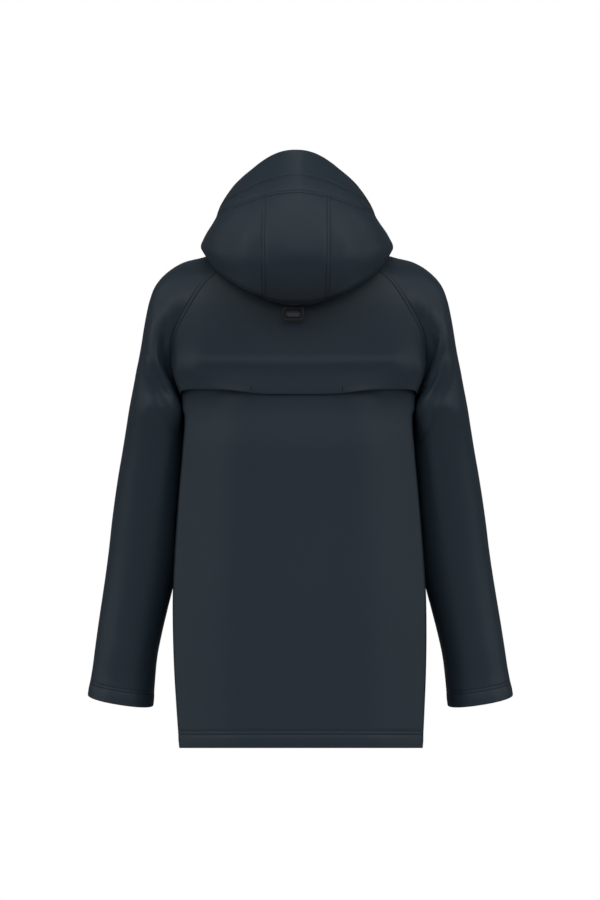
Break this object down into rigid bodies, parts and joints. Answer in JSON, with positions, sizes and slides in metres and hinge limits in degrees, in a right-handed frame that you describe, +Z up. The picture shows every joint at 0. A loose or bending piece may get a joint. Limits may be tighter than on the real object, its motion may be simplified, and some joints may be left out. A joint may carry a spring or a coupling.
{
  "type": "hooded raincoat",
  "caption": "Hooded raincoat of smooth coated cloth with raglan sleeves, a storm flap across the back, a panelled hood with a strap adjuster, and a snapped front.",
  "frame": {"origin": "on the wearer's centre line at the height of the back neck seam, in the open neck", "axes": "+Z up, -Y the way the wearer faces (the snapped front), +X the wearer's left"},
  "size_m": [0.679, 0.3185, 0.9568],
  "materials": {
    "coated_cloth": "smooth matte rubber-like coating, dark navy",
    "strap_cloth": "the coated cloth folded into a flat strap",
    "slider_plastic": "dark matte moulded plastic",
    "snap_metal": "dark satin painted snap caps"
  },
  "bodies": {
    "root": {"back_panel": "coated_cloth", "back_yoke": "coated_cloth", "front_left": "coated_cloth", "front_right": "coated_cloth", "hood_centre": "coated_cloth", "hood_side_left": "coated_cloth", "hood_side_right": "coated_cloth", "hood_visor_band": "coated_cloth", "hood_strap": "strap_cloth", "hood_slider": "slider_plastic", "sleeve_left": "coated_cloth", "sleeve_right": "coated_cloth", "snap_1": "snap_metal", "snap_2": "snap_metal", "snap_3": "snap_metal", "snap_4": "snap_metal", "snap_5": "snap_metal", "snap_6": "snap_metal"}
  },
  "joints": []
}
